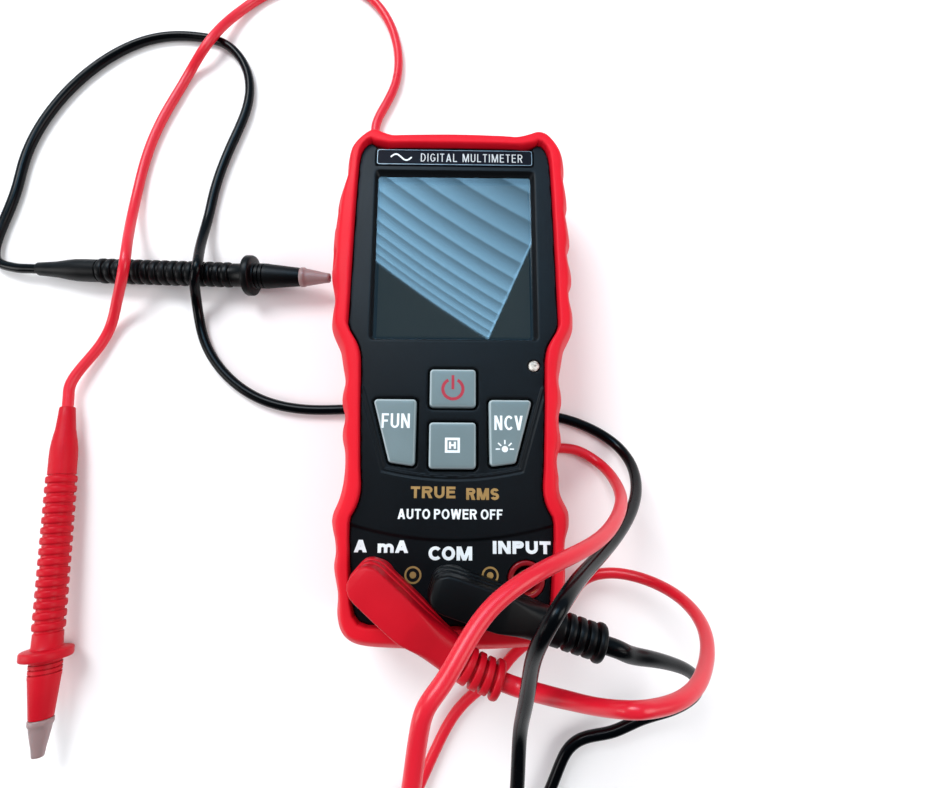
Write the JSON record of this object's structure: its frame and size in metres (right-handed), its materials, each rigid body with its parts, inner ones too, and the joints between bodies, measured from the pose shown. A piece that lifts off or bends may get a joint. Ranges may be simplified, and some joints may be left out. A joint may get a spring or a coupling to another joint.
{
  "type": "digital multimeter",
  "caption": "Hand-held digital multimeter in a rubber holster with push keys, a tilt stand and two test leads with shrouded plugs and needle probes.",
  "frame": {"origin": "on the resting plane under the middle of the meter body", "axes": "+X to the right of the face, +Y towards the display end, +Z out of the face"},
  "size_m": [0.2587, 0.3379, 0.0939],
  "materials": {
    "boot_red": "satin moulded rubber",
    "shell_black": "fine matte texture",
    "strip_black": "gloss, silvered edge",
    "window_clear": "clear polycarbonate",
    "display_glass": "dark display glass",
    "diffuser_white": "white diffuser",
    "key_grey": "satin grey",
    "silicone_grey": "silicone",
    "zebra_rubber": "striped elastomer",
    "board_green": "solder mask",
    "component_black": "moulded",
    "led_white": "small lamp",
    "ptc_blue": "coated disc",
    "ring_red": "moulded",
    "ring_black": "moulded",
    "contact_brass": "turned",
    "fuse_ceramic": "tube with metal caps",
    "steel_plated": "bright plate",
    "cell_wrap": "foil wrap",
    "lead_red": "soft PVC",
    "lead_black": "soft PVC",
    "guard_clear": "milky soft plastic"
  },
  "bodies": {
    "meter": {"batteries": "cell_wrap", "battery_contacts": "steel_plated", "battery_cover": "shell_black", "battery_cover_screw": "steel_plated", "battery_springs": "steel_plated", "black_cable": "lead_black", "black_probe_handle": "lead_black", "black_probe_needle": "steel_plated", "black_tip_guard": "guard_clear", "board_screws": "steel_plated", "board_spacers": "contact_brass", "boot": "boot_red", "buzzer": "component_black", "case_screws": "steel_plated", "current_shunt": "steel_plated", "front_shell": "shell_black", "fuse_10a": "fuse_ceramic", "fuse_clips": "steel_plated", "fuse_ma": "fuse_ceramic", "indicator_led": "led_white", "jack_contact_a": "contact_brass", "jack_contact_com": "contact_brass", "jack_contact_input": "contact_brass", "jack_socket_a": "ring_red", "jack_socket_com": "ring_black", "jack_socket_input": "ring_red", "key_board": "board_green", "keypad_membrane": "silicone_grey", "lcd_backlight": "diffuser_white", "lcd_frame": "shell_black", "lcd_panel": "display_glass", "lcd_window": "window_clear", "light_pipe": "window_clear", "main_board": "board_green", "main_chip": "component_black", "ncv_antenna": "contact_brass", "ptc_thermistor": "ptc_blue", "rear_shell": "shell_black", "red_cable": "lead_red", "red_probe_handle": "lead_red", "red_probe_needle": "steel_plated", "tact_switches": "component_black", "title_strip": "strip_black", "zebra_strips": "zebra_rubber"},
    "power_key": {"power_key": "key_grey"},
    "hold_key": {"hold_key": "key_grey"},
    "function_key": {"function_key": "key_grey"},
    "ncv_key": {"ncv_key": "key_grey"},
    "stand": {"tilt_stand": "shell_black"},
    "red_plug": {"red_plug": "lead_red", "red_plug_pin": "steel_plated"},
    "black_plug": {"black_plug": "lead_black", "black_plug_pin": "steel_plated"},
    "red_guard": {"red_tip_guard": "guard_clear"}
  },
  "joints": [
    {"name": "power_key_press", "type": "slide", "parent": "meter", "child": "power_key", "axis": [0, 0, -1], "range_m": [0, 0.0008]},
    {"name": "hold_key_press", "type": "slide", "parent": "meter", "child": "hold_key", "axis": [0, 0, -1], "range_m": [0, 0.0008]},
    {"name": "function_key_press", "type": "slide", "parent": "meter", "child": "function_key", "axis": [0, 0, -1], "range_m": [0, 0.0008]},
    {"name": "ncv_key_press", "type": "slide", "parent": "meter", "child": "ncv_key", "axis": [0, 0, -1], "range_m": [0, 0.0008]},
    {"name": "stand_hinge", "type": "hinge", "parent": "meter", "child": "stand", "pos_m": [0, 0.066, 0.009], "axis": [1, 0, 0], "range_deg": [0, 70]},
    {"name": "red_plug_pull", "type": "slide", "parent": "meter", "child": "red_plug", "axis": [0, 0, 1], "range_m": [0, 0.008]},
    {"name": "black_plug_pull", "type": "slide", "parent": "meter", "child": "black_plug", "axis": [0, 0, 1], "range_m": [0, 0.0165]},
    {"name": "red_guard_slide", "type": "slide", "parent": "meter", "child": "red_guard", "axis": [0.0871, -0.9955, 0.0365], "range_m": [0, 0.013]}
  ]
}
